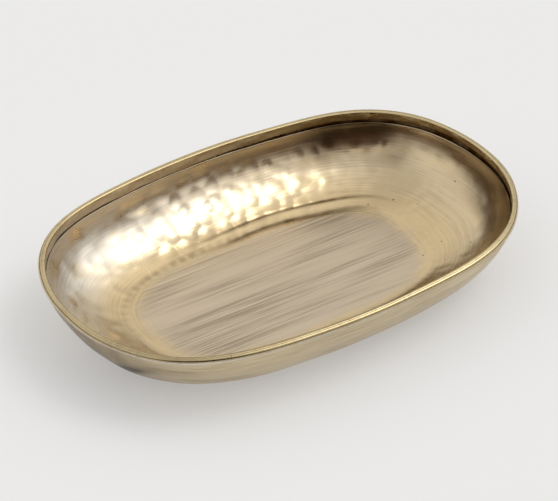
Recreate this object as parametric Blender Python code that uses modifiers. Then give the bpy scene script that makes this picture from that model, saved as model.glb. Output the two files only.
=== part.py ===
"""Oval brass serving tray, in metres, +Z up, resting on z = 0 with its long side along X.

A hammered liner sits inside an outer shell. A folded band closes the shell's rim, a bed of
adhesive joins the two floors, and felt pads keep the brass off the table.
"""

import bmesh
import bpy
from math import cos, pi, sin
from mathutils import Vector

# Overall sizes, measured over the rim band.
LENGTH = 0.406
WIDTH = 0.262
HEIGHT = 0.060

# Outlines in plan are superellipses: 2 is an ellipse, and a higher number is squarer.
RIM_SQUARENESS = 2.66
BASE_SQUARENESS = 2.45
FLOOR_SQUARENESS = 2.85

# How far the outlines of the shell's base and the liner's floor stand in from the rim's.
BASE_INSET_AT_ENDS = 0.054
BASE_INSET_AT_SIDES = 0.046
FLOOR_INSET_AT_ENDS = 0.072
FLOOR_INSET_AT_SIDES = 0.062

# Sheet brass.
SHELL_SHEET = 0.0012
LINER_SHEET = 0.0012
BAND_SHEET = 0.0010

# The rim band, an upside-down U in section, with a hollow between the shell and its inner leg.
BAND_HOLLOW = 0.0021
BAND_CORNER_RADIUS = 0.0013
BAND_OUTER_LEG = 0.0040
BAND_INNER_LEG = 0.0085

# The seam inside the rim, between the band's inner leg and the liner's edge.
SEAM_HEIGHT = 0.0018

# The room between the two walls.
WALL_CLEARANCE = 0.0008

# Pieces that rest on each other keep this gap.
GAP = 0.0003

BOND_THICKNESS = 0.0012
BOND_MARGIN = 0.015

PAD_THICKNESS = 0.0015
PAD_RADIUS = 0.010
PAD_MARGIN = 0.035

# Mesh resolution.
SEGMENTS_AROUND = 72
WALL_RINGS = 11
CORNER_STEPS = 3
PAD_SIDES = 24

# The stack of pieces, from the table up.
SHELL_BOTTOM = PAD_THICKNESS + GAP
BOND_BOTTOM = SHELL_BOTTOM + SHELL_SHEET + GAP
LINER_BOTTOM = BOND_BOTTOM + BOND_THICKNESS + GAP
FLOOR_TOP = LINER_BOTTOM + LINER_SHEET
SHELL_TOP = HEIGHT - BAND_SHEET - GAP
LINER_TOP = HEIGHT - BAND_INNER_LEG - SEAM_HEIGHT

# Distances in from the rim's outline.
SHELL_INSET = BAND_SHEET + GAP
BAND_WIDTH = SHELL_INSET + SHELL_SHEET + BAND_HOLLOW + BAND_SHEET

# From the shell's outside to the liner's inside.
WALL_ROOM = SHELL_SHEET + WALL_CLEARANCE + LINER_SHEET

# The shell's wall: the share of its lean that is spread up the wall, how that share keeps off
# the rim, and how sharply the rest curves in to the base.
SPREAD_LEAN = 0.30
LEAN_POWER = 1.5
CURVE_POWER = 1.7

# The liner follows the shell's wall and leaves it near the floor. A higher number is a
# tighter cove.
COVE_SHARPNESS = 4.0

# Rings crowd towards the floor, where the walls bend most.
RING_CROWDING = 1.6


class Outline:
    """A superellipse in plan, and the curves that run parallel to it."""

    def __init__(self, half_length, half_width, squareness):
        self.half_length = half_length
        self.half_width = half_width
        self.squareness = squareness

    def point(self, turn, inset=0.0):
        """The point at an angle round the outline, moved inwards at right angles to it."""
        reach = (abs(cos(turn)) ** self.squareness + abs(sin(turn)) ** self.squareness) ** (
            -1 / self.squareness
        )
        along, across = cos(turn) * reach, sin(turn) * reach
        slope = self.squareness - 1
        outward = Vector(
            (
                abs(along) ** slope * (1 if along > 0 else -1) / self.half_length,
                abs(across) ** slope * (1 if across > 0 else -1) / self.half_width,
            )
        ).normalized()
        return Vector((along * self.half_length, across * self.half_width)) - outward * inset

    def ring(self, inset=0.0, segments=SEGMENTS_AROUND):
        """Points spaced evenly in angle all the way round."""
        return [self.point(2 * pi * i / segments, inset) for i in range(segments)]


RIM = Outline(LENGTH / 2, WIDTH / 2, RIM_SQUARENESS)
BASE = Outline(
    LENGTH / 2 - BASE_INSET_AT_ENDS, WIDTH / 2 - BASE_INSET_AT_SIDES, BASE_SQUARENESS
)
FLOOR = Outline(
    LENGTH / 2 - FLOOR_INSET_AT_ENDS, WIDTH / 2 - FLOOR_INSET_AT_SIDES, FLOOR_SQUARENESS
)


def clear_scene():
    """Removes every object of the scene that the script is opened in."""
    for leftover in list(bpy.data.objects):
        bpy.data.objects.remove(leftover)


def make_material(name, colour, metallic, roughness):
    """A Principled material with one linear colour."""
    material = bpy.data.materials.new(name)
    material.use_nodes = True
    shader = material.node_tree.nodes["Principled BSDF"]
    shader.inputs["Base Color"].default_value = (*colour, 1.0)
    shader.inputs["Metallic"].default_value = metallic
    shader.inputs["Roughness"].default_value = roughness
    return material


def make_object(name, data, material, collection):
    """Puts one named piece with its material in the tray's collection."""
    piece = bpy.data.objects.new(name, data)
    data.materials.append(material)
    collection.objects.link(piece)
    return piece


def sweep_rings(name, rings, close_first):
    """An open sheet through rings of points that all have the same count."""
    sheet = bmesh.new()
    rows = [[sheet.verts.new(point) for point in ring] for ring in rings]
    for lower, upper in zip(rows, rows[1:]):
        for i in range(len(lower)):
            j = (i + 1) % len(lower)
            sheet.faces.new((lower[i], lower[j], upper[j], upper[i]))
    if close_first:
        sheet.faces.new(reversed(rows[0]))
    mesh = bpy.data.meshes.new(name)
    sheet.to_mesh(mesh)
    sheet.free()
    mesh.shade_smooth()
    return mesh


def thicken(piece, thickness, outward):
    """Gives an open sheet its thickness, on the outside or the inside of the drawn surface."""
    solidify = piece.modifiers.new("sheet_thickness", "SOLIDIFY")
    solidify.thickness = thickness
    solidify.offset = 1.0 if outward else -1.0
    solidify.use_even_offset = True


def shell_ring(z, room=0.0):
    """The outline of the shell's outside at a height, moved in by some room."""
    depth = (SHELL_TOP - z) / (SHELL_TOP - SHELL_BOTTOM)
    lean = depth**LEAN_POWER
    curve = 1.0 - (1.0 - depth**CURVE_POWER) ** 0.5
    inset = SPREAD_LEAN * lean + (1.0 - SPREAD_LEAN) * curve
    edge = RIM.ring(SHELL_INSET + room)
    base = BASE.ring(room)
    return [top.lerp(low, inset) for top, low in zip(edge, base)]


def wall_shares():
    """Shares of a wall's height for its rings, from 0 at the floor to 1 at the edge."""
    return [(step / WALL_RINGS) ** RING_CROWDING for step in range(WALL_RINGS + 1)]


def raise_ring(ring, z):
    """A ring in plan, as points at one height."""
    return [Vector((point.x, point.y, z)) for point in ring]


def make_outer_shell(material, collection):
    """The outer bowl. Its drawn surface is the outside, and the sheet lies inside that."""
    rings = []
    for share in wall_shares():
        z = SHELL_BOTTOM + (SHELL_TOP - SHELL_BOTTOM) * share
        rings.append(raise_ring(shell_ring(z), z))
    sheet = sweep_rings("outer_shell", rings, True)
    piece = make_object("outer_shell", sheet, material, collection)
    thicken(piece, SHELL_SHEET, outward=False)


def liner_ring(share, z):
    """The outline of the liner's inside, which runs beside the shell and then in to the floor."""
    cove = (1.0 - share) ** COVE_SHARPNESS
    beside_shell = shell_ring(z, WALL_ROOM)
    foot = shell_ring(FLOOR_TOP, WALL_ROOM)
    return [
        wall - (low - floor) * cove for wall, low, floor in zip(beside_shell, foot, FLOOR.ring())
    ]


def make_liner(material, collection):
    """The hammered inner bowl. Its drawn surface is the inside, and the sheet lies outside that."""
    rings = []
    for share in wall_shares():
        z = FLOOR_TOP + (LINER_TOP - FLOOR_TOP) * share
        rings.append(raise_ring(liner_ring(share, z), z))
    piece = make_object("liner", sweep_rings("liner", rings, True), material, collection)
    thicken(piece, LINER_SHEET, outward=True)


def band_section():
    """(inset, height) over the outside of the band, from its outer leg to its inner leg."""
    radius = BAND_CORNER_RADIUS
    section = [(0.0, HEIGHT - BAND_OUTER_LEG)]
    for centre, start in ((radius, pi), (BAND_WIDTH - radius, pi / 2)):
        for step in range(CORNER_STEPS + 1):
            turn = start - pi / 2 * step / CORNER_STEPS
            z = HEIGHT - radius + radius * sin(turn)
            section.append((centre + radius * cos(turn), z))
    section.append((BAND_WIDTH, HEIGHT - BAND_INNER_LEG))
    return section


def make_rim_band(material, collection):
    """The strip folded over the shell's rim. Its drawn surface is the side that shows."""
    rings = [raise_ring(RIM.ring(inset), z) for inset, z in band_section()]
    piece = make_object("rim_band", sweep_rings("rim_band", rings, False), material, collection)
    thicken(piece, BAND_SHEET, outward=False)


def make_floor_bond(material, collection):
    """The bed of adhesive between the shell's base and the liner's floor."""
    curve = bpy.data.curves.new("floor_bond", "CURVE")
    curve.dimensions = "2D"
    curve.fill_mode = "BOTH"
    curve.extrude = BOND_THICKNESS / 2
    ring = FLOOR.ring(BOND_MARGIN)
    spline = curve.splines.new("POLY")
    spline.points.add(len(ring) - 1)
    for control, point in zip(spline.points, ring):
        control.co = (point.x, point.y, 0.0, 1.0)
    spline.use_cyclic_u = True
    piece = make_object("floor_bond", curve, material, collection)
    piece.location.z = BOND_BOTTOM + BOND_THICKNESS / 2


def make_foot_pads(material, collection):
    """Four felt discs under the base, well inside its edge."""
    reach = Vector((BASE.half_length - PAD_MARGIN, BASE.half_width - PAD_MARGIN))
    corners = [(1, 1), (-1, 1), (-1, -1), (1, -1)]
    bpy.ops.mesh.primitive_cylinder_add(vertices=PAD_SIDES, radius=PAD_RADIUS, depth=PAD_THICKNESS)
    pattern = bpy.context.active_object
    disc = pattern.data
    disc.name = "foot_pad"
    bpy.data.objects.remove(pattern)
    disc.materials.append(material)
    for number, (side, end) in enumerate(corners, 1):
        pad = bpy.data.objects.new(f"foot_pad_{number}", disc)
        pad.location = (side * reach.x, end * reach.y, PAD_THICKNESS / 2)
        collection.objects.link(pad)


def main():
    clear_scene()
    tray = bpy.data.collections.new("brass_tray")
    bpy.context.scene.collection.children.link(tray)
    make_outer_shell(make_material("brushed_brass_outside", (0.50, 0.41, 0.27), 1.0, 0.38), tray)
    make_liner(make_material("hammered_brass", (0.55, 0.44, 0.26), 1.0, 0.30), tray)
    make_rim_band(make_material("brass_rim", (0.58, 0.48, 0.29), 1.0, 0.26), tray)
    make_floor_bond(make_material("cured_adhesive", (0.55, 0.52, 0.45), 0.0, 0.60), tray)
    make_foot_pads(make_material("brown_felt", (0.09, 0.06, 0.04), 0.0, 0.95), tray)


main()
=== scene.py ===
"""The looks of an oval brass tray, laid out as an add-on and run as a script.

A liner of hammered sheet brass sits in a brushed outer shell. A band folded over the shell's
edge makes the rim, and felt pads keep the tray off the table.
"""

from math import cos, pi, radians, sin

import bpy
import numpy as np
from bpy.props import FloatProperty, FloatVectorProperty, PointerProperty
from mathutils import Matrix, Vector


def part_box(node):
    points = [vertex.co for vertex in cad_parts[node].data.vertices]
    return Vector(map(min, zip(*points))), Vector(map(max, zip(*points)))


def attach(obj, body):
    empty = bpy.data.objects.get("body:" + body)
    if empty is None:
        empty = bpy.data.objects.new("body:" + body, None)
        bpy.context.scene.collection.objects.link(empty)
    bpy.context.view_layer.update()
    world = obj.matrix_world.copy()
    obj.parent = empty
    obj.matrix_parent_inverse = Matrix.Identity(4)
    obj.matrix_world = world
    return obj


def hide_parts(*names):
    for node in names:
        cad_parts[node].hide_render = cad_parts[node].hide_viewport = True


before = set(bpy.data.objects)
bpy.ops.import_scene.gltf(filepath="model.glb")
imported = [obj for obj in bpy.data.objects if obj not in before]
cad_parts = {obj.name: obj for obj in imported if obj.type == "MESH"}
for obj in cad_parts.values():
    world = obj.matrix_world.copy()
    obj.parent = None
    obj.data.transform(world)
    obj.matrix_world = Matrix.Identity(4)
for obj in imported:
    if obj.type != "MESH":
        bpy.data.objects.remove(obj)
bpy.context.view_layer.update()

bl_info = {
    "name": "Brass Tray",
    "version": (1, 0, 0),
    "blender": (4, 5, 0),
    "location": "View3D > Sidebar > Tray",
    "description": "Builds an oval double-walled brass tray round its packed frame",
    "category": "Object",
}

MM = 0.001
BODY = "root"

# Places that the frame gives.
RIM_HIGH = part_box("rim_band")[1]
SHELL_LOW, SHELL_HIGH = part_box("outer_shell")
LINER_LOW, LINER_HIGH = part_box("liner")
HALF_LENGTH, HALF_WIDTH, HEIGHT = RIM_HIGH


# ---------------------------------------------------------------- settings


def linear(value):
    """The linear colour of an sRGB hex value such as "C9A050", with full alpha."""
    parts = [int(value[i : i + 2], 16) / 255 for i in (0, 2, 4)]
    return (*(c / 12.92 if c <= 0.04045 else ((c + 0.055) / 1.055) ** 2.4 for c in parts), 1.0)


def size(name, description, millimetres):
    """A length that a user can change."""
    default = millimetres * MM
    return FloatProperty(name=name, description=description, default=default, unit="LENGTH", precision=5)


def number(name, description, value):
    """A plain number that a user can change."""
    return FloatProperty(name=name, description=description, default=value)


def colour(name, description, value):
    """A colour that a user can change, from its sRGB hex value."""
    default = linear(value)
    return FloatVectorProperty(
        name=name, description=description, default=default, size=4, subtype="COLOR", min=0, max=1
    )


class TrayShape(bpy.types.PropertyGroup):
    """Sizes of the tray that its frame's boxes don't give."""

    rim_squareness: number("Rim squareness", "Superellipse power of the rim in plan", 2.66)
    base_squareness: number("Base squareness", "Superellipse power of the base in plan", 2.45)
    floor_squareness: number("Floor squareness", "Superellipse power of the floor in plan", 2.85)
    base_inset_ends: size("Base inset at ends", "From the rim in to the base, lengthways", 54)
    base_inset_sides: size("Base inset at sides", "From the rim in to the base, crossways", 46)
    floor_inset_ends: size("Floor inset at ends", "From the rim in to the floor, lengthways", 72)
    floor_inset_sides: size("Floor inset at sides", "From the rim in to the floor, crossways", 62)
    sheet: size("Sheet", "Thickness of the liner and the shell", 1.2)
    band_sheet: size("Band sheet", "Thickness of the rim band", 1.0)
    band_width: size("Band width", "Width of the rim's top face", 5.6)
    band_outer_leg: size("Band outer leg", "Height of the band outside the shell", 4.2)
    wall_room: size("Wall room", "From the shell's outside to the liner's inside", 3.2)


class HammerWork(bpy.types.PropertyGroup):
    """How the liner was hammered."""

    pitch: size("Pitch", "From one hammer mark to the next", 13)
    reach: size("Reach", "Radius of a hammer mark", 9.5)
    depth: size("Depth", "Depth of a hammer mark", 1.15)
    foot_pitch: size("Foot pitch", "From one mark to the next round the floor", 8.6)
    foot_depth: size("Foot depth", "Depth of the marks round the floor", 0.35)
    crease: size("Crease", "Depth of the lines pressed round the foot", 0.35)


class TrayColours(bpy.types.PropertyGroup):
    """Colours of the tray's finishes and of the stage."""

    brass: colour("Brass", "Yellow brass, hammered and scoured to a satin", "D6BF96")
    pale_brass: colour("Pale brass", "Brass scoured until it is frosty", "E2DCD0")
    patina: colour("Patina", "Brown tarnish in the grain", "6E562E")
    # Also painted as shade and as dark reflections where a mesh marks them.
    deep_patina_and_shade: colour("Deep patina", "Tarnish where no cloth reaches", "4A3110")
    grime: colour("Grime", "Grey-brown dirt in the floor's scratches", "6E5E4C")
    floor_brass: colour("Floor brass", "Brass of the scoured floor", "D2C2AA")
    shell_brass: colour("Shell brass", "Brass of the brushed outer wall", "DACAAA")
    rim_brass: colour("Rim brass", "Brass of the rubbed rim", "CFBD94")
    felt: colour("Felt", "Pressed wool felt", "3A2A20")
    adhesive: colour("Adhesive", "Cured epoxy", "C8C0A8")
    backdrop: colour("Backdrop", "Opal acrylic of the lit table", "C3C3C3")


# ---------------------------------------------------------------- shape in plan


def superellipse(turn, half_length, half_width, squareness, inset=0.0):
    """Points of an outline at angles round it, each moved in by an inset."""
    c, s = np.cos(turn), np.sin(turn)
    reach = (np.abs(c) ** squareness + np.abs(s) ** squareness) ** (-1 / squareness)
    unit = np.stack([c * reach, s * reach], -1)
    outward = np.abs(unit) ** (squareness - 1) * np.sign(unit) / (half_length, half_width)
    outward /= np.linalg.norm(outward, axis=-1, keepdims=True)
    return unit * (half_length, half_width) - outward * np.asarray(inset)[..., None]


def even_turns(count):
    """Angles whose points lie evenly round the rim."""
    fine = np.linspace(0, 2 * pi, count * 12 + 1)
    squareness = bpy.context.scene.tray_shape.rim_squareness
    points = superellipse(fine, HALF_LENGTH, HALF_WIDTH, squareness)
    run = np.concatenate([[0], np.cumsum(np.linalg.norm(np.diff(points, axis=0), axis=-1))])
    return np.interp(np.arange(count) / count * run[-1], run, fine)


def waves(turn, swings):
    """A slow wander round the tray: a sum of waves, each (waves round, millimetres, degrees)."""
    return sum(swing * MM * np.cos(count * turn - radians(at)) for count, swing, at in swings)


def near(turn, at, spread):
    """A smooth hump round an angle, given in degrees: 1 at the angle and 0 away from it."""
    off = (np.degrees(turn) - at + 180) % 360 - 180
    return np.exp(-((off / spread) ** 2))


# From the rim down, the shell's wall leans in by one share of the way to the base and curls under by
# the rest. Each grows as its own power of the depth.
LEAN_SHARE, LEAN_POWER, CURL_POWER = 0.30, 1.5, 1.7
# The liner's wall draws away from the shell's as this power of the way down.
FOOT_POWER = 4
# The rim's heave dies away down the walls as this power of the height.
HEAVE_POWER = 4
# How far the hand-made rim wanders from its outline and from level.
RIM_WANDER = ((3, 0.45, 25), (4, 0.35, 300), (6, 0.75, 350), (7, 0.35, 285), (8, 0.9, 0), (10, 0.35, 180))
RIM_HEAVE = ((2, 0.20, 10), (5, 0.15, 130), (9, 0.12, 300), (14, 0.08, 45))


class Plan:
    """The outlines of the tray at any height, with the wander of the hand-made rim."""

    def __init__(self, turn):
        self.shape = bpy.context.scene.tray_shape
        self.turn = turn
        self.wander = waves(turn, RIM_WANDER)
        self.heave = waves(turn, RIM_HEAVE)

    def rim(self, inset=0.0):
        """The rim's outline, moved in."""
        inset = inset - self.wander
        return superellipse(self.turn, HALF_LENGTH, HALF_WIDTH, self.shape.rim_squareness, inset)

    def base(self, inset=0.0):
        """The outline of the shell's flat base, moved in."""
        half_length = HALF_LENGTH - self.shape.base_inset_ends
        half_width = HALF_WIDTH - self.shape.base_inset_sides
        return superellipse(self.turn, half_length, half_width, self.shape.base_squareness, inset)

    def floor(self):
        """The outline of the liner's flat floor."""
        half_length = HALF_LENGTH - self.shape.floor_inset_ends
        half_width = HALF_WIDTH - self.shape.floor_inset_sides
        return superellipse(self.turn, half_length, half_width, self.shape.floor_squareness)

    def shell(self, z, room=0.0):
        """The shell's outside at a height, moved in by some room."""
        depth = np.clip((SHELL_HIGH[2] - z) / (SHELL_HIGH[2] - SHELL_LOW[2]), 0, 1)
        curl = 1 - np.sqrt(1 - depth**CURL_POWER)
        inset = LEAN_SHARE * depth**LEAN_POWER + (1 - LEAN_SHARE) * curl
        edge = self.rim(HALF_LENGTH - SHELL_HIGH[0] + room)
        return edge + (self.base(room) - edge) * inset

    def liner(self, share, z):
        """The liner's inside at a share of its height."""
        room = self.shape.wall_room
        foot = self.shell(LINER_LOW[2] + self.shape.sheet, room) - self.floor()
        return self.shell(z, room) - foot * (1 - share) ** FOOT_POWER


def at_height(ring, z):
    """A ring in plan, raised to one height or to a height for each point."""
    return np.column_stack([ring, np.broadcast_to(z, len(ring))])


def even_rows(make_row, count):
    """Rows spaced evenly up a wall and how far up each is; make_row gives one for a share of 0 to 1."""
    shares = np.linspace(0, 1, 120) ** 1.5
    rows = np.array([make_row(share) for share in shares])
    steps = np.linalg.norm(np.diff(rows, axis=0), axis=-1).mean(axis=1)
    run = np.concatenate([[0], np.cumsum(steps)])
    up = np.linspace(0, run[-1], count)
    return np.array([make_row(share) for share in np.interp(up, run, shares)]), up


# ---------------------------------------------------------------- meshes

# Points round a bowl, and rows up its wall and across its flat. Its hidden side has fewer rows.
AROUND = 660
WALL_ROWS, FLOOR_ROWS = 62, 21
HIDDEN_STEP = 4


def skin(name, rows, closed=False, inward=False):
    """A smooth mesh through rows of points, each a ring: closed on itself, or capped at its ends.

    Its faces point outward where the rows go up a wall, or inward.
    """
    count, around = rows.shape[:2]
    i = np.arange(around)
    j = (i + 1) % around
    turned = slice(None, None, -1 if inward else 1)
    low = np.arange(count if closed else count - 1)[:, None] * around
    high = (low + around) % (count * around)
    faces = np.stack([low + i, low + j, high + j, high + i], -1).reshape(-1, 4)[:, turned].tolist()
    points = rows.reshape(-1, 3)
    if not closed:
        points = np.concatenate([points, [rows[0].mean(axis=0), rows[-1].mean(axis=0)]])
        first, last, top = len(points) - 2, len(points) - 1, (count - 1) * around
        faces += np.column_stack([np.full(around, first), j, i])[:, turned].tolist()
        faces += np.column_stack([np.full(around, last), top + i, top + j])[:, turned].tolist()
    mesh = bpy.data.meshes.new(name)
    mesh.from_pydata(points.tolist(), [], faces)
    mesh.update()
    mesh.shade_smooth()
    return mesh


def mark(mesh, name, values):
    """Gives a mesh one number for each point of its rows, and its caps' middles their rows' means."""
    caps = [values[0].mean(), values[-1].mean()][: len(mesh.vertices) - values.size]
    full = np.concatenate([values.ravel(), caps]).astype(np.float32)
    mesh.attributes.new(name, "FLOAT", "POINT").data.foreach_set("value", full)


def show(name, mesh, node, material):
    """Puts a piece in the scene in place of its CAD node."""
    piece = bpy.data.objects.new(name, mesh)
    bpy.context.scene.collection.objects.link(piece)
    mesh.materials.append(material)
    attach(piece, BODY)
    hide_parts(node)


def inward_normals(rows):
    """Normals of a bowl's rows, pointing into the bowl."""
    along = np.roll(rows, -1, axis=1) - np.roll(rows, 1, axis=1)
    normals = np.cross(np.gradient(rows, axis=0), along)
    return normals / np.maximum(np.linalg.norm(normals, axis=-1, keepdims=True), 1e-12)


def soften(rows, first, last, passes):
    """Smooths rows in place between two of them, which rounds the crease at a wall's foot."""
    part = rows[first:last]
    for _ in range(passes):
        part[1:-1] = 0.25 * part[:-2] + 0.5 * part[1:-1] + 0.25 * part[2:]


def dish(plan, side, flat, half_flat, heights, rounded, passes):
    """Rows of a bowl from the middle of its flat up its wall, and how far up the wall each is.

    side gives the wall's outline for a share of its height and that height, and flat is the flat's
    outline. The crease at the foot is rounded up to a row of the wall. A row of the flat lies
    below 0, down to -half_flat in the middle.
    """
    low, high = heights

    def row(share):
        z = low + (high - low) * share
        return at_height(side(share, z), z + plan.heave * share**HEAVE_POWER)

    wall, up = even_rows(row, WALL_ROWS)
    shares = np.linspace(0.02, 1, FLOOR_ROWS + 1)[:-1]
    floor = np.array([at_height(flat * share, low) for share in shares])
    rows = np.concatenate([floor, wall])
    soften(rows, FLOOR_ROWS // 2, FLOOR_ROWS + rounded, passes)
    return rows, np.concatenate([(shares - 1) * half_flat, up])


# Overlapping marks add as this power does: higher leaves sharper ridges between them.
STRIKE_POWER = 2.5


def hammer(rows, strikes):
    """How deep overlapping round marks leave each point of rows, each strike (place, radius, depth)."""
    points = rows.reshape(-1, 3)
    dished = np.zeros(len(points))
    for place, radius, depth in strikes:
        close = np.flatnonzero(np.abs(points[:, 0] - place[0]) < radius)
        off = ((points[close] - place) ** 2).sum(-1) / radius**2
        struck = off < 1
        dished[close[struck]] += (depth * (1 - off[struck]) ** 2) ** STRIKE_POWER
    return dished.reshape(rows.shape[:2]) ** (1 / STRIKE_POWER)


# ---------------------------------------------------------------- materials

MATH, MIX, NOISE = "ShaderNodeMath", "ShaderNodeMix", "ShaderNodeTexNoise"
RANGE, VECTOR = "ShaderNodeMapRange", "ShaderNodeVectorMath"


def add(tree, kind, inputs=None, take=None, **settings):
    """Adds one node with its settings, sets or links its inputs, and gives one of its outputs.

    An input goes by its name, or by its place where names repeat. The output is the first in
    use, or the one whose name is taken.
    """
    node = tree.nodes.new(kind)
    for name, value in settings.items():
        setattr(node, name, value)
    usable = {socket.name: socket for socket in node.inputs if socket.enabled}
    for name, value in (inputs or {}).items():
        socket = node.inputs[name] if isinstance(name, int) else usable[name]
        if isinstance(value, bpy.types.NodeSocket):
            tree.links.new(value, socket)
        else:
            socket.default_value = value
    given = (socket for socket in node.outputs if socket.enabled and take in (None, socket.name))
    return next(given, None)


def per(millimetres):
    """The pattern scale at which one repeat is this long."""
    return 1 / (millimetres * MM)


def finish(name, inputs_of):
    """A material whose Principled shader takes the inputs that a function makes in its tree."""
    material = bpy.data.materials.new(name)
    material.use_nodes = True
    tree = material.node_tree
    tree.nodes.clear()
    surface = add(tree, "ShaderNodeBsdfPrincipled", inputs_of(tree))
    add(tree, "ShaderNodeOutputMaterial", {"Surface": surface})
    return material


def floor_place(tree):
    """Places for a grain that runs lengthways, as (along, upright, across)."""
    place = add(tree, "ShaderNodeTexCoord", take="Object")
    axes = {to: add(tree, "ShaderNodeSeparateXYZ", {0: place}, take=axis) for to, axis in enumerate("XZY")}
    return add(tree, "ShaderNodeCombineXYZ", axes)


def wall_place(tree):
    """Places for a grain that runs level round a wall, as (along, along, up the wall)."""
    place = add(tree, "ShaderNodeTexCoord", take="Object")
    axes = {to: add(tree, "ShaderNodeSeparateXYZ", {0: place}, take=axis) for to, axis in enumerate("XY")}
    axes[2] = add(tree, "ShaderNodeAttribute", take="Fac", attribute_name="up_wall")
    return add(tree, "ShaderNodeCombineXYZ", axes)


def grain(tree, place, along, across, detail=4.0):
    """Noise drawn out into scratches, so many millimetres long and wide.

    Real scratches are about 0.1 mm wide and felt hairs thinner still, too fine to show. Both are
    drawn 0.8 to 1.6 mm wide instead.
    """
    stretch = (per(along), per(along), per(across))
    drawn = add(tree, VECTOR, {0: place, 1: stretch}, operation="MULTIPLY")
    return add(tree, NOISE, {"Vector": drawn, "Scale": 1.0, "Detail": detail, "Roughness": 0.6})


def tarnish(tree, fine, broad, amount):
    """How brown the metal is: most where deep scratches cross a neglected patch."""
    deep = add(
        tree, RANGE, {"Value": fine, "From Min": 0.38, "From Max": 0.64}, interpolation_type="SMOOTHSTEP"
    )
    patch = add(
        tree,
        RANGE,
        {"Value": broad, "From Min": 0.30, "From Max": 0.66, "To Max": amount},
        interpolation_type="SMOOTHSTEP",
    )
    return add(tree, MATH, {0: deep, 1: patch}, operation="MULTIPLY")


def tarnish_and_shade_over(tree, body, deep_patina_and_shade):
    """A colour with deep tarnish and painted shade over it, in clouds, where the mesh is marked for them.
    """
    marked = add(tree, "ShaderNodeAttribute", take="Fac", attribute_name="tarnish_and_shade")
    cloud = grain(tree, floor_place(tree), 24, 24, 3)
    uneven = {"Value": cloud, "From Min": 0.3, "From Max": 0.7, "To Min": 0.6, "To Max": 1.2}
    amount = add(tree, MATH, {0: marked, 1: add(tree, RANGE, uneven)}, operation="MULTIPLY")
    return add(tree, MIX, {"Factor": amount, "A": body, "B": deep_patina_and_shade}, data_type="RGBA")


def pinholes(tree, wall):
    """Casting pits, one to a patch of wall and only in some patches, near one end of the bowl."""
    cells = {"Vector": wall, "Scale": per(11), "Randomness": 1.0}
    off = add(tree, "ShaderNodeTexVoronoi", cells, take="Distance")
    tint = add(tree, "ShaderNodeTexVoronoi", cells, take="Color")
    luck = add(tree, "ShaderNodeSeparateXYZ", {0: tint}, take="X")
    pit = add(tree, RANGE, {"Value": off, "From Min": 0.10, "From Max": 0.05})
    lucky = add(tree, MATH, {0: luck, 1: 0.55}, operation="GREATER_THAN")
    place = add(tree, "ShaderNodeTexCoord", take="Object")
    along = add(tree, "ShaderNodeSeparateXYZ", {0: place}, take="X")
    end = add(tree, RANGE, {"Value": along, "From Min": 95 * MM, "From Max": 125 * MM})
    pitted = add(tree, MATH, {0: pit, 1: lucky}, operation="MULTIPLY")
    return add(tree, MATH, {0: pitted, 1: end}, operation="MULTIPLY")


def hammered_brass():
    """Sheet brass hammered by hand, then scoured round the walls and lengthways on the floor.

    Wire wool leaves a satin grain that follows the bowl, frosty where it was worked most. Brown
    tarnish stays in the grain of the floor and in a few pinholes. The small marks round the floor
    and the pressed lines are drawn darker, patches high up the wall are painted dark reflections,
    and the hidden back is darkened with tarnish and painted shade.
    """
    colours = bpy.context.scene.tray_colours

    def inputs_of(tree):
        wall, floor = wall_place(tree), floor_place(tree)
        up = add(tree, "ShaderNodeAttribute", take="Fac", attribute_name="up_wall")
        scoured = add(tree, "ShaderNodeAttribute", take="Fac", attribute_name="scoured")
        wall_fine, wall_broad = grain(tree, wall, 45, 1.2, 6), grain(tree, wall, 34, 16, 3)
        floor_fine, floor_broad = grain(tree, floor, 110, 1.6, 5), grain(tree, floor, 140, 24, 1)

        # The floor's grain gives out raggedly round its edge.
        drift = {"Value": grain(tree, floor, 40, 12, 3), "To Min": -10 * MM, "To Max": 10 * MM}
        ragged = add(tree, MATH, {0: up, 1: add(tree, RANGE, drift)}, operation="ADD")
        span = {"From Min": 3 * MM, "From Max": -10 * MM}
        on_floor = add(tree, RANGE, {"Value": ragged, **span}, interpolation_type="SMOOTHSTEP")
        patchy = add(tree, RANGE, {"Value": wall_broad, "From Min": 0.2, "From Max": 0.5})
        frost = add(tree, MATH, {0: scoured, 1: patchy}, operation="MULTIPLY")

        two = {"A": colours.brass, "B": colours.pale_brass}
        bright = add(tree, MIX, {"Factor": frost, **two}, data_type="RGBA")
        darkened = tarnish(tree, wall_fine, wall_broad, 0.22)
        walls = add(tree, MIX, {"Factor": darkened, "A": bright, "B": colours.patina}, data_type="RGBA")
        two = {"A": colours.floor_brass, "B": colours.grime}
        darkened = tarnish(tree, floor_fine, floor_broad, 0.58)
        streaked = add(tree, MIX, {"Factor": darkened, **two}, data_type="RGBA")
        body = add(tree, MIX, {"Factor": on_floor, "A": walls, "B": streaked}, data_type="RGBA")
        # Painted dark reflections high up the wall, darker marks and lines round the floor, and the hidden
        # back in tarnish and painted shade.
        body = tarnish_and_shade_over(tree, body, colours.deep_patina_and_shade)
        pits = {"Factor": pinholes(tree, wall), "A": body, "B": colours.deep_patina_and_shade}
        body = add(tree, MIX, pits, data_type="RGBA")

        satin = add(tree, RANGE, {"Value": frost, "To Min": 0.15, "To Max": 0.46})
        rough = add(tree, MIX, {"Factor": on_floor, "A": satin, "B": 0.38})
        relief = add(tree, MIX, {"Factor": on_floor, "A": wall_fine, "B": floor_fine})
        scratched = add(tree, "ShaderNodeBump", {"Height": relief, "Distance": 0.09 * MM})
        return {"Base Color": body, "Metallic": 1.0, "Roughness": rough, "Normal": scratched}

    return finish("hammered_scoured_brass_painted_shade", inputs_of)


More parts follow.
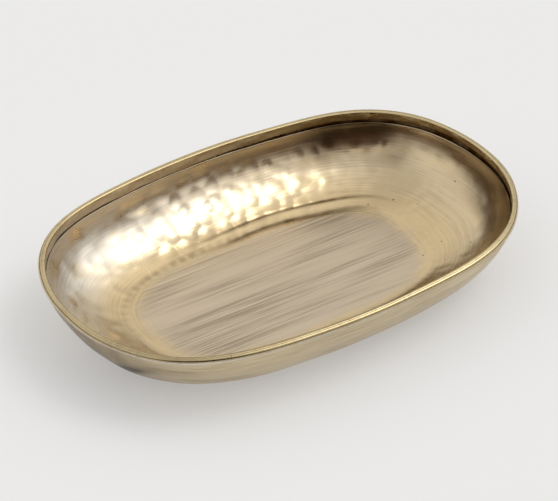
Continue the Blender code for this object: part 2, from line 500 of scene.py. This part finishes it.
def brushed_brass():
    """Sheet brass brushed round by hand and left to tarnish.

    The grain runs level and stays brown in its hollows, in patches as broad as a hand's stroke.
    Shade is painted darker round one end and in a band under the curve.
    """
    colours = bpy.context.scene.tray_colours

    def inputs_of(tree):
        wall = wall_place(tree)
        fine, broad = grain(tree, wall, 60, 1.2), grain(tree, wall, 80, 12, 3)
        darkened = tarnish(tree, fine, broad, 0.45)
        two = {"A": colours.shell_brass, "B": colours.patina}
        body = add(tree, MIX, {"Factor": darkened, **two}, data_type="RGBA")
        # Painted shade round one end and under the curve, and deep tarnish on the hidden inside, from the
        # mesh's marks.
        body = tarnish_and_shade_over(tree, body, colours.deep_patina_and_shade)
        rough = add(tree, RANGE, {"Value": broad, "To Min": 0.28, "To Max": 0.44})
        scratched = add(tree, "ShaderNodeBump", {"Height": fine, "Distance": 0.06 * MM})
        return {"Base Color": body, "Metallic": 1.0, "Roughness": rough, "Normal": scratched}

    return finish("brushed_tarnished_brass_painted_shade", inputs_of)


def rubbed_brass():
    """Strip brass folded over an edge and rubbed smooth by hand, so it shines softly.

    Its two legs are scoured almost white at one end of the tray. Small dents stay brown where
    the rubbing passed over them. Shade is painted down the inner leg at the other end.
    """
    colours = bpy.context.scene.tray_colours

    def inputs_of(tree):
        place = floor_place(tree)
        dents, broad = grain(tree, place, 5, 5, 2), grain(tree, place, 26, 26, 3)
        scoured = add(tree, "ShaderNodeAttribute", take="Fac", attribute_name="scoured")
        two = {"A": colours.rim_brass, "B": colours.pale_brass}
        bright = add(tree, MIX, {"Factor": scoured, **two}, data_type="RGBA")
        two = {"A": bright, "B": colours.patina}
        body = add(tree, MIX, {"Factor": tarnish(tree, dents, broad, 0.2), **two}, data_type="RGBA")
        # Real tarnish on the top at one end, painted shade down the inner leg and on the hidden faces, from
        # the mesh's marks.
        body = tarnish_and_shade_over(tree, body, colours.deep_patina_and_shade)
        rough = add(tree, RANGE, {"Value": broad, "To Min": 0.18, "To Max": 0.34})
        rough = add(tree, MIX, {"Factor": scoured, "A": rough, "B": 0.45})
        dented = add(tree, "ShaderNodeBump", {"Height": dents, "Distance": 0.03 * MM})
        return {"Base Color": body, "Metallic": 1.0, "Roughness": rough, "Normal": dented}

    return finish("rubbed_strip_brass_painted_shade", inputs_of)


def pressed_felt():
    """Pressed wool felt: matt, with short matted hairs."""
    colours = bpy.context.scene.tray_colours

    def inputs_of(tree):
        hairs = grain(tree, floor_place(tree), 0.8, 0.8)
        shade = {"Value": hairs, "From Min": 0.3, "From Max": 0.7, "To Min": 0.7, "To Max": 1.6}
        body = add(tree, VECTOR, {0: colours.felt[:3], "Scale": add(tree, RANGE, shade)}, operation="SCALE")
        matted = add(tree, "ShaderNodeBump", {"Height": hairs, "Distance": 0.4 * MM})
        return {"Base Color": body, "Roughness": 0.95, "Sheen Weight": 0.4, "Normal": matted}

    return finish("pressed_wool_felt", inputs_of)


def cured_adhesive():
    """Epoxy cured in the gap: cloudy, and slightly uneven."""
    colours = bpy.context.scene.tray_colours

    def inputs_of(tree):
        cloud = grain(tree, floor_place(tree), 6, 6, 3)
        shade = add(tree, RANGE, {"Value": cloud, "To Min": 0.6, "To Max": 1.1})
        body = add(tree, VECTOR, {0: colours.adhesive[:3], "Scale": shade}, operation="SCALE")
        uneven = add(tree, "ShaderNodeBump", {"Height": cloud, "Distance": 0.2 * MM})
        return {"Base Color": body, "Roughness": 0.5, "Normal": uneven}

    return finish("cured_epoxy", inputs_of)


def lit_acrylic():
    """Opal acrylic lit softly from below, so that shadows on it stay pale."""
    colours = bpy.context.scene.tray_colours
    glow = {"Emission Color": (1.0, 1.0, 1.0, 1.0), "Emission Strength": TABLE_GLOW}
    matt = {"Base Color": colours.backdrop, "Roughness": 1.0, "Specular IOR Level": 0.0}
    return finish("lit_opal_acrylic", lambda tree: {**glow, **matt})


# ---------------------------------------------------------------- pieces

# No hammer mark is deeper than this share of the sheet.
DEEPEST_SHARE = 0.85
# The marks are deepest at one place round the bowl and broadest at another, in degrees. Those round
# the floor fade sooner.
HEAVY_AT, HEAVY_SPREAD, FOOT_SPREAD = 116, 48, 36
BROAD_AT, BROAD_SPREAD = 154, 34
# Two lines pressed round one side of the foot: where, in degrees, how far up, and how wide.
CREASES_AT, CREASE_LEVELS, CREASE_WIDTH = 68, (1.5 * MM, 13 * MM), 1.8 * MM
# Painted dark reflections of the room's dark side, high up the wall: degrees round it, how wide,
# and how dark. They start this far up and reach their full strength over this height.
DARK_REFLECTIONS = ((57, 7, 0.55), (45, 5, 0.2), (36, 6.5, 0.5), (343, 18, 0.75))
DARK_REFLECTIONS_FROM, DARK_REFLECTIONS_FADE = 42 * MM, 12 * MM
# How much darker, towards deep patina, the small marks round the floor and the pressed lines are drawn.
BEAD_DARKENING, CREASE_DARKENING = 0.45, 0.9
# Where the wall is scoured most, in degrees round it, and from how far up over what height.
SCOURED_AT, SCOURED_SPREAD = 142, 52
SCOURED_FROM, SCOURED_FADE = 15 * MM, 30 * MM
# The hammering starts this far up the wall and stops this far below its edge.
STRIKES_FROM, STRIKES_SHORT = 18 * MM, 14 * MM


class TRAY_OT_liner(bpy.types.Operator):
    """Build the hammered liner"""

    bl_idname = "tray.liner"
    bl_label = "Liner"

    def execute(self, context):
        plan, sheet = Plan(even_turns(AROUND)), context.scene.tray_shape.sheet
        work = context.scene.hammer_work
        half_floor = HALF_WIDTH - plan.shape.floor_inset_sides
        heights = LINER_LOW[2] + sheet, LINER_HIGH[2]
        inside, up = dish(plan, plan.liner, plan.floor(), half_floor, heights, WALL_ROWS // 4, 12)
        normals = inward_normals(inside)
        marks = hammer(inside, self.wall_strikes(inside, up, work))
        beads = hammer(inside, self.foot_strikes(inside, up, work))
        creases = self.creases(plan.turn, up)
        relief = marks - marks.mean(axis=1, keepdims=True) + beads
        relief += work.crease * creases
        deepest = DEEPEST_SHARE * sheet
        relief = deepest * np.tanh(relief / deepest)
        hammered = inside - normals * relief[..., None]
        back = (inside - normals * sheet)[::-1][::HIDDEN_STEP]
        rows = np.concatenate([hammered, self.edge(hammered[-1], back[0]), back])
        mesh = skin("liner_sheet", rows, inward=True)

        hidden = len(rows) - len(hammered)
        # Drawn darker in the small marks round the floor and in the pressed lines.
        darkening = BEAD_DARKENING * np.clip(beads / work.foot_depth, 0, 1) + CREASE_DARKENING * creases
        # Painted dark reflections of the room's dark side, high up the wall.
        high_up = np.clip((up[:, None] - DARK_REFLECTIONS_FROM) / DARK_REFLECTIONS_FADE, 0, 1)
        for at, spread, amount in DARK_REFLECTIONS:
            darkening += amount * near(plan.turn, at, spread) * high_up
        scoured = np.clip((up[:, None] - SCOURED_FROM) / SCOURED_FADE, 0, 1)
        scoured = scoured * (0.2 + 0.8 * near(plan.turn, SCOURED_AT, SCOURED_SPREAD))
        mark(mesh, "up_wall", np.tile(np.pad(up, (0, hidden), "edge")[:, None], AROUND))
        # The hidden back is darkest: tarnish where no cloth reaches, and painted shade in the seam.
        mark(mesh, "tarnish_and_shade", np.pad(darkening, ((0, hidden), (0, 0)), constant_values=1))
        mark(mesh, "scoured", np.pad(scoured, ((0, hidden), (0, 0))))
        show("hammered_liner", mesh, "liner", hammered_brass())
        return {"FINISHED"}

    def edge(self, front, back):
        """The rounded top edge of the sheet, between its two faces."""
        lift = np.array((0, 0, 0.25 * MM))
        return np.array([front + (back - front) * share + lift for share in (0.2, 0.8)])

    def creases(self, turn, up):
        """How deep the lines pressed into the foot of the wall are, wandering a little, up to 1."""
        fade = np.clip(1.6 * near(turn, CREASES_AT, 30) - 0.2, 0, 1)
        wander = 0.9 * MM * np.cos(9 * turn + 0.5)
        lines = sum(np.exp(-(((up[:, None] - at - wander) / CREASE_WIDTH) ** 2)) for at in CREASE_LEVELS)
        return fade * lines

    def wall_strikes(self, inside, up, work):
        """Places, radii and depths of the hammer's marks, in rows up the wall."""
        dice, struck = np.random.default_rng(7), []
        for level in np.arange(STRIKES_FROM, up[-1] - STRIKES_SHORT, work.pitch * 0.85):
            count = self.how_many(inside, up, level, work.pitch)
            for step in (np.arange(count) + dice.uniform(-0.42, 0.42, count)) / count * AROUND:
                row = np.argmin(np.abs(up - level - dice.uniform(-0.4, 0.4) * work.pitch))
                place = inside[row, int(step) % AROUND]
                turn = np.arctan2(place[1] / HALF_WIDTH, place[0] / HALF_LENGTH)
                heavy = 0.2 + 0.8 * near(turn, HEAVY_AT, HEAVY_SPREAD)
                broad = 1 + 0.85 * near(turn, BROAD_AT, BROAD_SPREAD)
                radius = work.reach * dice.uniform(0.7, 1.15) * broad
                struck.append((place, radius, work.depth * dice.uniform(0.3, 1.2) * heavy))
        return struck

    def foot_strikes(self, inside, up, work):
        """Places, radii and depths of a ring of small marks round the floor."""
        dice, level = np.random.default_rng(8), 4 * MM
        count, row = self.how_many(inside, up, level, work.foot_pitch), np.argmin(np.abs(up - level))
        steps = (np.arange(count) + dice.uniform(-0.2, 0.2, count)) / count * AROUND
        places = [inside[row, int(step) % AROUND] for step in steps]
        turns = [np.arctan2(place[1] / HALF_WIDTH, place[0] / HALF_LENGTH) for place in places]
        heavy = 0.15 + 0.85 * near(turns, HEAVY_AT, FOOT_SPREAD)
        depths = work.foot_depth * dice.uniform(0.4, 1.1, count) * heavy
        return [(place, work.foot_pitch * 0.62, depth) for place, depth in zip(places, depths)]

    def how_many(self, inside, up, level, pitch):
        """How many marks go round the bowl at a level."""
        ring = inside[np.argmin(np.abs(up - level))]
        return int(np.linalg.norm(np.diff(ring, axis=0), axis=-1).sum() / pitch)


# Painted shade on the outer wall, in degrees round it: a broad darkening round one end and a band of
# painted shadow under its curve. The band's height climbs by so much a degree.
END_SHADE_AT, SHADOW_BAND_AT = 188, 206
SHADOW_BAND_HEIGHT, SHADOW_BAND_CLIMB, SHADOW_BAND_WIDTH = 30 * MM, 0.8 * MM, 6 * MM
# Depth of the slow dents in the outer wall.
FLUTTER = 0.14 * MM


class TRAY_OT_outer_shell(bpy.types.Operator):
    """Build the brushed outer shell"""

    bl_idname = "tray.outer_shell"
    bl_label = "Outer Shell"

    def execute(self, context):
        plan, sheet = Plan(even_turns(AROUND)), context.scene.tray_shape.sheet
        heights = SHELL_LOW[2], SHELL_HIGH[2]
        outside, up = dish(plan, self.side(plan), plan.base(), HALF_WIDTH, heights, WALL_ROWS // 8, 6)
        normals = inward_normals(outside)
        brushed = outside + normals * self.flutter(plan.turn, up)[..., None]
        inside = (outside + normals * sheet)[::-1][::HIDDEN_STEP]
        rows = np.concatenate([brushed, inside])
        mesh = skin("shell_sheet", rows)
        hidden, painted_shade = len(inside), self.painted_shade(plan.turn, outside[..., 2])
        mark(mesh, "up_wall", np.tile(np.pad(up, (0, hidden), "edge")[:, None], AROUND))
        # Painted shade round one end and under the curve; the hidden inside is darkest, tarnish where no
        # cloth reaches and painted shade in the seam.
        mark(mesh, "tarnish_and_shade", np.pad(painted_shade, ((0, hidden), (0, 0)), constant_values=1))
        show("brushed_shell", mesh, "outer_shell", brushed_brass())
        return {"FINISHED"}

    def side(self, plan):
        """The wall's outline as a dish asks for it; the shell's depends on the height alone."""
        return lambda _share, z: plan.shell(z)

    def painted_shade(self, turn, z):
        """Painted shade: a broad darkening round one end, and a darker band of painted shadow that climbs
        across it.
        """
        shadow_band_height = SHADOW_BAND_HEIGHT + SHADOW_BAND_CLIMB * (np.degrees(turn) - SHADOW_BAND_AT)
        shadow_band = near(turn, SHADOW_BAND_AT, 9) * np.exp(-(((z - shadow_band_height) / SHADOW_BAND_WIDTH) ** 2))
        return 0.65 * near(turn, END_SHADE_AT, 26) + 0.8 * shadow_band

    def flutter(self, turn, up):
        """Slow dents in the wall from the maker's hands."""
        height = np.clip(up / up[-1], 0, 1)[:, None]
        window = np.clip(height * 5, 0, 1) * np.clip((1 - height) * 5, 0, 1)
        dents = np.cos(11 * turn + 2 * height) + np.cos(17 * turn - 4 * height + 1)
        return FLUTTER * window * dents


# Points round the band, rows up its outer leg, and rows down its inner leg.
BAND_AROUND, HEM_ROWS, LEG_ROWS = 1400, 6, 10
# How far the band's outer corner is rounded, inwards and down, and its inner corner.
OUTER_ROUNDING, INNER_ROUNDING = (2.3 * MM, 3.0 * MM), (1.0 * MM, 1.0 * MM)
# The line pressed along the top where it meets that corner.
LINE_WIDTH, LINE_DEPTH = 0.5 * MM, 0.35 * MM
# Where the band's two ends meet, where its inner leg is pleated and where its edge is ragged.
JOINT_AT, PLEAT_AT, RAGGED_AT = 236, 44, 74
# The notch at the joint: its depth, half its width in radians, and the extra points that draw it.
NOTCH_DEPTH, NOTCH_HALF = 0.5 * MM, 0.7e-3
JOINT_TURNS = np.array((-1.6, -0.9, -0.5, 0.5, 0.9, 1.6)) * 1e-3
# Where the outer and the inner leg are scoured almost white, in degrees, and over what spread.
OUTER_SCOURED_AT, INNER_SCOURED_AT, SCOURED_WIDE = 220, 140, 62


class TRAY_OT_rim_band(bpy.types.Operator):
    """Build the folded rim band"""

    bl_idname = "tray.rim_band"
    bl_label = "Rim Band"

    def execute(self, context):
        turn = np.sort(np.concatenate([even_turns(BAND_AROUND), radians(JOINT_AT) + JOINT_TURNS]))
        plan, shape = Plan(turn), context.scene.tray_shape
        width = shape.band_width * (1 + 0.06 * np.cos(7 * turn + 1))
        shown, leg = self.outer_side(plan, width, shape), self.inner_leg(plan, width)
        hidden = self.behind(plan, width, shape)
        mesh = skin("band_sheet", np.array([*shown, *leg, *hidden]), closed=True)

        # Painted shade down the inner leg on both sides of one end, darker towards the seam below it.
        down_leg = np.linspace(0.3, 1, LEG_ROWS)[:, None]
        darkened = down_leg * (0.6 * near(turn, 38, 42) + 0.3 * near(turn, 340, 30))
        top = np.tile(0.22 * near(turn, 225, 50), (len(shown), 1))
        top[:HEM_ROWS] = 0
        # The hidden faces are darkest: tarnish where no cloth reaches, and painted shade in the seam.
        darkening = np.concatenate([top, darkened, np.ones((len(hidden), len(turn)))])
        scoured = np.zeros_like(darkening)
        scoured[:HEM_ROWS] = near(turn, OUTER_SCOURED_AT, SCOURED_WIDE)
        scoured[len(shown) : -len(hidden)] = near(turn, INNER_SCOURED_AT, SCOURED_WIDE)
        mark(mesh, "tarnish_and_shade", darkening)
        mark(mesh, "scoured", scoured)
        show("folded_rim_band", mesh, "rim_band", rubbed_brass())
        return {"FINISHED"}

    def ring(self, plan, inset, drop):
        """A ring of the band's section, notched where the band's ends meet."""
        notch = NOTCH_DEPTH * (np.abs(plan.turn - radians(JOINT_AT)) < NOTCH_HALF)
        return at_height(plan.rim(inset + notch), HEIGHT + plan.heave - drop - notch)

    def outer_side(self, plan, width, shape):
        """Rings up the outer leg, round its corner and over the slightly crowned top."""
        leg = shape.band_outer_leg * (1 + 0.06 * np.cos(9 * plan.turn + 2))
        hem = ((0.35, 1.0), (0.05, 0.94), (0.0, 0.8), (0.1, 0.68), (0.12, 0.62))
        rings = [self.ring(plan, inset * MM, leg * drop) for inset, drop in hem]
        bends = np.linspace(0, pi / 2, 7)
        (across, down), (inner_across, inner_down) = OUTER_ROUNDING, INNER_ROUNDING
        rings += [self.ring(plan, across * (1 - cos(bend)), down * (1 - sin(bend))) for bend in bends]
        rings.append(self.ring(plan, across + 0.5 * LINE_WIDTH, LINE_DEPTH))
        start = across + LINE_WIDTH
        land = width - start - inner_across
        for share in (0, 0.25, 0.5, 0.75):
            rings.append(self.ring(plan, start + land * share, -0.14 * MM * sin(pi * share)))
        for bend in bends:
            inset, drop = width - inner_across * (1 - sin(bend)), inner_down * (1 - cos(bend))
            rings.append(self.ring(plan, inset, drop))
        return rings

    def inner_leg(self, plan, width):
        """Rings down the inner leg to its cut edge, which stands over the liner's edge."""
        leg = HEIGHT - LINER_HIGH[2] - self.seam(plan.turn)
        shares = np.linspace(0.2, 1, LEG_ROWS)
        return [self.ring(plan, width + self.buckle(plan.turn, share), leg * share) for share in shares]

    def behind(self, plan, width, shape):
        """Rings up the back of the inner leg, under the top and down the back of the outer leg."""
        sheet, leg = shape.band_sheet, HEIGHT - LINER_HIGH[2] - self.seam(plan.turn)
        back = width + self.buckle(plan.turn, 1) - sheet
        folded = ((width - sheet, leg * 0.5), (width - sheet, 1.6 * sheet), (width - 1.6 * sheet, sheet))
        unfolded = ((2.4 * sheet, sheet), (sheet, 2.6 * sheet), (sheet, shape.band_outer_leg))
        return [self.ring(plan, inset, drop) for inset, drop in ((back, leg), *folded, *unfolded)]

    def seam(self, turn):
        """Height of the dark seam between the inner leg and the liner's edge."""
        open_end = 3.0 * near(turn, 18, 36) + 1.8 * near(turn, 345, 24) + 1.2 * near(turn, 62, 22)
        nicks = np.cos(191 * turn) + np.cos(263 * turn + 1) + np.cos(347 * turn + 2)
        return MM * (0.6 + open_end + 0.22 * near(turn, RAGGED_AT, 17) * nicks)

    def buckle(self, turn, share):
        """How far the inner leg stands out of true, from folding a flat strip round a bend."""
        folds = 0.45 * np.cos(23 * turn + 1.1 * np.cos(5 * turn)) + 0.3 * np.cos(41 * turn + 2)
        pleat = 1.1 * near(turn, PLEAT_AT + 2.5 * share, 1.3)
        return MM * (folds + pleat) * sin(pi * min(share, 0.85))


class TRAY_OT_floor_bond(bpy.types.Operator):
    """Finish the adhesive between the floors"""

    bl_idname = "tray.floor_bond"
    bl_label = "Floor Bond"

    def execute(self, context):
        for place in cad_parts["floor_bond"].material_slots:
            place.material = cured_adhesive()
        return {"FINISHED"}


# Section of a die-cut disc, whose cut edge bulges: shares of its radius and its thickness.
PAD_SECTION = (
    (0.5, 0), (0.9, 0), (0.97, 0), (0.992, 0.12), (1, 0.35),
    (1, 0.65), (0.992, 0.88), (0.97, 1), (0.9, 1), (0.5, 1),
)


class TRAY_OT_foot_pads(bpy.types.Operator):
    """Build the felt pads"""

    bl_idname = "tray.foot_pads"
    bl_label = "Foot Pads"

    def execute(self, context):
        felt = pressed_felt()
        for which in range(1, 5):
            node = f"foot_pad_{which}"
            low, high = (np.array(corner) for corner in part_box(node))
            show(f"felt_pad_{which}", self.disc(node, low, high), node, felt)
        return {"FINISHED"}

    def disc(self, name, low, high):
        """A round of felt that fills a box."""
        turn = np.linspace(0, 2 * pi, 96, endpoint=False)
        circle = np.column_stack([np.cos(turn), np.sin(turn)]) * (high - low)[:2] / 2
        middle, thickness = (low + high)[:2] / 2, high[2] - low[2]
        rows = [at_height(middle + circle * out, low[2] + thickness * up) for out, up in PAD_SECTION]
        return skin(name, np.array(rows))


# ---------------------------------------------------------------- stage

# The camera: what it looks at, how far off it is in metres, its degrees round and up, and its lens.
CAMERA_AIM = Vector((13.1, 23.0, 19.3)) * MM
CAMERA_DISTANCE = 3.741
CAMERA_TURN, CAMERA_RISE = 237, 37
CAMERA_LENS = 294.7
# How brightly the table's acrylic is lit from below.
TABLE_GLOW = 0.34

# The room glows overhead and darkens towards the level of the tray: how far up each is, in
# degrees, and how bright.
GLOW_LOW, GLOW_HIGH = (7, 0.08), (33, 0.90)
# The room's dark side: degrees round and up, half its spread, its fade, and the share of the glow
# that is left there.
DARK_TURN, DARK_RISE, DARK_HALF, DARK_FADE, DARK_SHARE = -115, 14, 28, 12, 0.08
# The lit room is white, and what is dark in it is brown: the glow at which each begins.
GLOW_TINT, DARK_TINT = linear("FFFEFC"), linear("FFB46C")
WHITE_FROM, BROWN_FROM = 0.45, 0.05
# The key light, a large soft box: degrees round and up, how wide it looks, and its power.
KEY_TURN, KEY_RISE, KEY_SPREAD, KEY_POWER = -20, 56, 30, 0.46
# The light that the key's soft box spills round itself: how far off it ends, and how bright.
SPILL_SPREAD, SPILL_GLOW = 44, 0.45
# Overhead the room's glow falls off, from one rise to another, to this share.
OVERHEAD_FROM, OVERHEAD_TO, OVERHEAD_SHARE = 48, 75, 0.75


def toward(turn, rise):
    """A direction from its degrees round from +X and up."""
    turn, rise = radians(turn), radians(rise)
    return Vector((cos(turn) * cos(rise), sin(turn) * cos(rise), sin(rise)))


class TRAY_OT_stage(bpy.types.Operator):
    """Set up the pale floor, the camera and the studio light"""

    bl_idname = "tray.stage"
    bl_label = "Stage"

    def execute(self, context):
        scene = context.scene
        scene.view_settings.view_transform = "Standard"
        self.floor()
        self.camera(scene)
        self.key_light(scene)
        scene.world = self.room()
        return {"FINISHED"}

    def floor(self):
        """The lit table under the tray."""
        bpy.ops.mesh.primitive_plane_add(size=14)
        floor = bpy.context.active_object
        floor.name = "studio_floor"
        floor.data.materials.append(lit_acrylic())

    def camera(self, scene):
        """A long lens that looks down on the tray from one side."""
        lens = bpy.data.cameras.new("studio_camera")
        lens.lens = CAMERA_LENS
        camera = bpy.data.objects.new("studio_camera", lens)
        back = toward(CAMERA_TURN, CAMERA_RISE)
        camera.location = CAMERA_AIM + back * CAMERA_DISTANCE
        camera.rotation_euler = back.to_track_quat("Z", "Y").to_euler()
        scene.collection.objects.link(camera)
        scene.camera = camera

    def key_light(self, scene):
        """A large soft light, high to one side."""
        lamp = bpy.data.lights.new("key_light", "SUN")
        lamp.energy = KEY_POWER
        lamp.angle = radians(KEY_SPREAD)
        key = bpy.data.objects.new("key_light", lamp)
        key.rotation_euler = toward(KEY_TURN, KEY_RISE).to_track_quat("Z", "Y").to_euler()
        scene.collection.objects.link(key)

    def room(self):
        """A room that glows from above and is dark on one side."""
        world = bpy.data.worlds.new("studio_room")
        world.use_nodes = True
        tree = world.node_tree
        tree.nodes.clear()
        ray = add(tree, "ShaderNodeTexCoord", take="Generated")
        lit = add(tree, MATH, {0: self.glow(tree, ray), 1: self.spill(tree, ray)}, operation="ADD")
        dimness = add(tree, RANGE, {"Value": lit, "From Min": WHITE_FROM, "From Max": BROWN_FROM})
        tint = add(tree, MIX, {"Factor": dimness, "A": GLOW_TINT, "B": DARK_TINT}, data_type="RGBA")
        shine = add(tree, "ShaderNodeBackground", {"Strength": lit, "Color": tint})
        add(tree, "ShaderNodeOutputWorld", {"Surface": shine})
        return world

    def glow(self, tree, ray):
        """The room's glow by how far up it is, less what falls off overhead and on the dark side."""
        level = add(tree, "ShaderNodeSeparateXYZ", {0: ray}, take="Z")
        (low, dim), (high, bright) = GLOW_LOW, GLOW_HIGH
        span = {"From Min": sin(radians(low)), "From Max": sin(radians(high))}
        span |= {"To Min": dim, "To Max": bright}
        rising = add(tree, RANGE, {"Value": level, **span}, interpolation_type="SMOOTHSTEP")
        low, high = sin(radians(OVERHEAD_FROM)), sin(radians(OVERHEAD_TO))
        span = {"From Min": low, "From Max": high, "To Min": 1.0, "To Max": OVERHEAD_SHARE}
        overhead = add(tree, RANGE, {"Value": level, **span}, interpolation_type="SMOOTHSTEP")
        facing = add(tree, VECTOR, {0: ray, 1: toward(DARK_TURN, DARK_RISE)}, operation="DOT_PRODUCT")
        edge, core = cos(radians(DARK_HALF + DARK_FADE)), cos(radians(DARK_HALF))
        span = {"From Min": edge, "From Max": core, "To Min": 1.0, "To Max": DARK_SHARE}
        dark = add(tree, RANGE, {"Value": facing, **span}, interpolation_type="SMOOTHSTEP")
        glow = add(tree, MATH, {0: rising, 1: overhead}, operation="MULTIPLY")
        return add(tree, MATH, {0: glow, 1: dark}, operation="MULTIPLY")

    def spill(self, tree, ray):
        """The light that the key's soft box spills round itself."""
        facing = add(tree, VECTOR, {0: ray, 1: toward(KEY_TURN, KEY_RISE)}, operation="DOT_PRODUCT")
        span = {"From Min": cos(radians(SPILL_SPREAD)), "From Max": 1.0, "To Max": SPILL_GLOW}
        return add(tree, RANGE, {"Value": facing, **span}, interpolation_type="SMOOTHSTEP")


# ---------------------------------------------------------------- add-on


class TRAY_PT_panel(bpy.types.Panel):
    """The tray's pieces and settings"""

    bl_label = "Brass Tray"
    bl_idname = "TRAY_PT_panel"
    bl_space_type = "VIEW_3D"
    bl_region_type = "UI"
    bl_category = "Tray"

    def draw(self, context):
        for operator in OPERATORS:
            self.layout.operator(operator.bl_idname)
        for name in SETTINGS:
            box, group = self.layout.box(), getattr(context.scene, name)
            for setting in group.__annotations__:
                box.prop(group, setting)


SETTINGS = {"tray_shape": TrayShape, "hammer_work": HammerWork, "tray_colours": TrayColours}
OPERATORS = (
    TRAY_OT_stage,
    TRAY_OT_liner,
    TRAY_OT_outer_shell,
    TRAY_OT_rim_band,
    TRAY_OT_floor_bond,
    TRAY_OT_foot_pads,
)
CLASSES = (*SETTINGS.values(), *OPERATORS, TRAY_PT_panel)


def register():
    """Registers the add-on's classes and settings."""
    for item in CLASSES:
        bpy.utils.register_class(item)
    for name, group in SETTINGS.items():
        setattr(bpy.types.Scene, name, PointerProperty(type=group))


def unregister():
    """Undoes register."""
    for name in SETTINGS:
        delattr(bpy.types.Scene, name)
    for item in reversed(CLASSES):
        bpy.utils.unregister_class(item)


def main():
    """Builds every piece."""
    register()
    bpy.ops.tray.stage()
    bpy.ops.tray.liner()
    bpy.ops.tray.outer_shell()
    bpy.ops.tray.rim_band()
    bpy.ops.tray.floor_bond()
    bpy.ops.tray.foot_pads()


if __name__ == "__main__":
    main()
